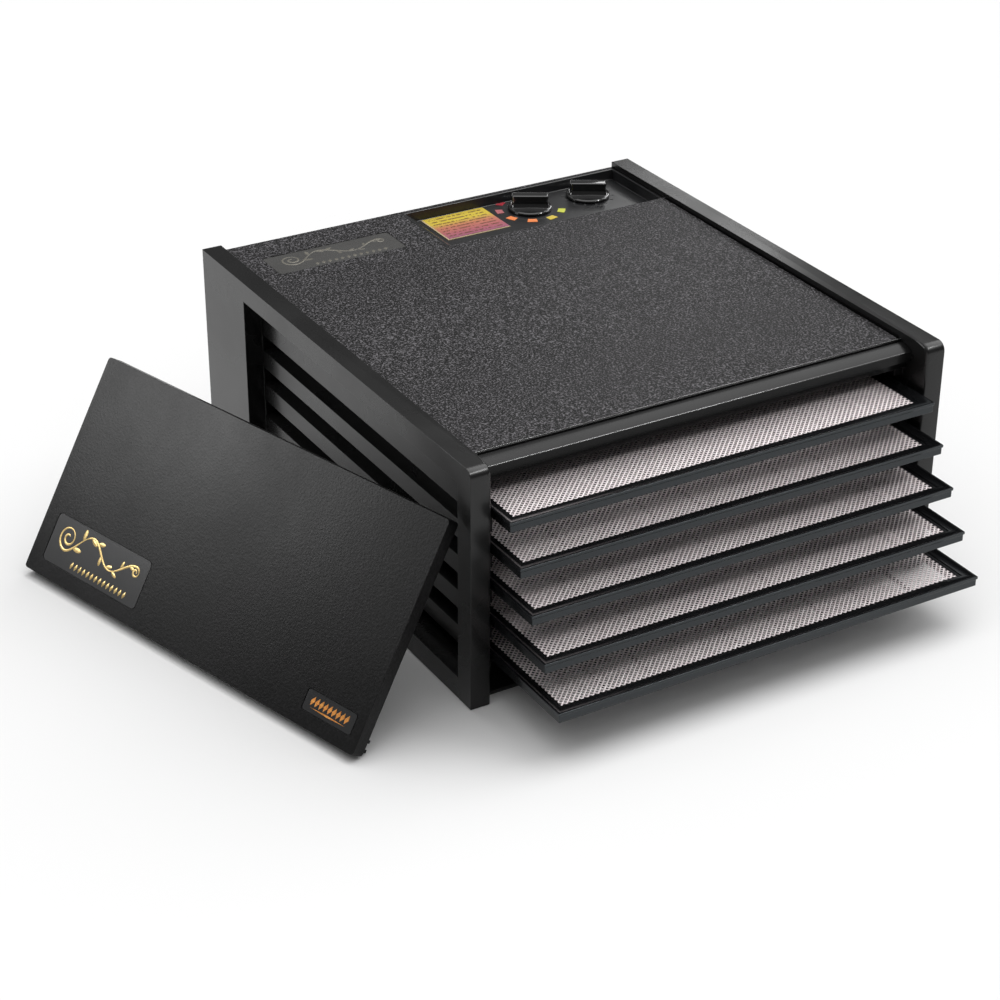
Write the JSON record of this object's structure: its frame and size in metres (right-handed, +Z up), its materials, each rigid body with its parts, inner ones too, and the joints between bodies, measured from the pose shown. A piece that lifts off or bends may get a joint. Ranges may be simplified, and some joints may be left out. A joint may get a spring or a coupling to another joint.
{
  "type": "food dehydrator",
  "caption": "Countertop food dehydrator: a rectangular case open at the front, pull-out mesh trays on ledges, a lift-off door, two dials on the top and a rear fan and heater.",
  "frame": {"origin": "middle of the case's footprint, on the underside of the bottom panel, where the case rests", "axes": "+X to the right seen from the open front, +Y to the rear where the fan is, +Z up"},
  "size_m": [0.6486, 0.5543, 0.2035],
  "materials": {
    "case_black": "satin moulded black plastic",
    "top_grain": "black plastic with a fine leather grain",
    "inner_black": "plain black moulding",
    "control_gloss": "polished black plastic",
    "chart_print": "colour chart printed from yellow to violet, no lettering",
    "dial_print": "printed dial marks",
    "badge_grey": "grey plate with a faint ornament",
    "badge_gold": "dark plate with a gold coloured ornament",
    "badge_orange": "orange and gold coloured plate",
    "knob_gloss": "glossy black",
    "steel": "plain zinc plated steel",
    "lamination": "stacked steel sheet",
    "copper_coil": "enamelled copper wire in tape",
    "bush_bronze": "sintered bronze",
    "insulator": "pale mica and ceramic",
    "wire": "insulated lead wire",
    "gland_rubber": "matt black",
    "fan_white": "natural white nylon",
    "tray_black": "shiny black moulding",
    "mesh_white": "pale flexible plastic mesh",
    "door_black": "black plastic with a fine grain"
  },
  "bodies": {
    "case": {"side_panel_left": "case_black", "side_panel_right": "case_black", "top_panel": "top_grain", "bottom_panel": "inner_black", "rear_panel": "inner_black", "intake_grille": "inner_black", "chamber_ceiling": "inner_black", "rear_baffle": "inner_black", "control_panel": "control_gloss", "food_chart": "chart_print", "temperature_scale": "dial_print", "timer_scale": "dial_print", "top_badge": "badge_grey", "thermostat_body": "insulator", "timer_body": "insulator", "control_nuts": "steel", "thermal_cutoff": "insulator", "terminal_block": "insulator", "wiring_harness": "wire", "cord_gland": "gland_rubber", "motor_stator": "lamination", "motor_coil": "copper_coil", "front_bearing_bridge": "steel", "rear_bearing_bridge": "steel", "motor_bushes": "bush_bronze", "motor_bracket": "steel", "motor_screws": "steel", "fan_guard": "inner_black", "heater_frame": "insulator", "heater_coil": "steel", "heater_posts": "insulator", "baffle_screws": "steel", "rear_screws": "steel"},
    "door": {"door_panel": "door_black", "door_back": "door_black", "door_badge_large": "badge_gold", "door_badge_small": "badge_orange"},
    "tray_1": {"tray_frame_1": "tray_black", "tray_grid_1": "tray_black", "tray_mesh_1": "mesh_white"},
    "tray_2": {"tray_frame_2": "tray_black", "tray_grid_2": "tray_black", "tray_mesh_2": "mesh_white"},
    "tray_3": {"tray_frame_3": "tray_black", "tray_grid_3": "tray_black", "tray_mesh_3": "mesh_white"},
    "tray_4": {"tray_frame_4": "tray_black", "tray_grid_4": "tray_black", "tray_mesh_4": "mesh_white"},
    "tray_5": {"tray_frame_5": "tray_black", "tray_grid_5": "tray_black", "tray_mesh_5": "mesh_white"},
    "temperature_dial": {"temperature_knob": "knob_gloss", "temperature_shaft": "steel"},
    "timer_dial": {"timer_knob": "knob_gloss", "timer_shaft": "steel"},
    "fan": {"motor_shaft": "steel", "motor_rotor_core": "lamination", "fan_rotor": "fan_white"}
  },
  "joints": [
    {"name": "door_lift", "type": "slide", "parent": "case", "child": "door", "axis": [0, 0, 1], "range_m": [0, 0.25]},
    {"name": "tray_1_slide", "type": "slide", "parent": "case", "child": "tray_1", "axis": [0, -1, 0], "range_m": [-0.0385, 0.2]},
    {"name": "tray_2_slide", "type": "slide", "parent": "case", "child": "tray_2", "axis": [0, -1, 0], "range_m": [-0.0535, 0.2]},
    {"name": "tray_3_slide", "type": "slide", "parent": "case", "child": "tray_3", "axis": [0, -1, 0], "range_m": [-0.0703, 0.2]},
    {"name": "tray_4_slide", "type": "slide", "parent": "case", "child": "tray_4", "axis": [0, -1, 0], "range_m": [-0.0889, 0.2]},
    {"name": "tray_5_slide", "type": "slide", "parent": "case", "child": "tray_5", "axis": [0, -1, 0], "range_m": [-0.1093, 0.2]},
    {"name": "temperature_turn", "type": "hinge", "parent": "case", "child": "temperature_dial", "pos_m": [0.092, 0.2, 0.19], "axis": [0, 0, 1], "range_deg": [-135, 135]},
    {"name": "timer_turn", "type": "hinge", "parent": "case", "child": "timer_dial", "pos_m": [0.1535, 0.2, 0.19], "axis": [0, 0, 1], "range_deg": [-330, 0]},
    {"name": "fan_spin", "type": "hinge", "parent": "case", "child": "fan", "pos_m": [0, 0.19, 0.092], "axis": [0, 1, 0], "continuous": true}
  ]
}
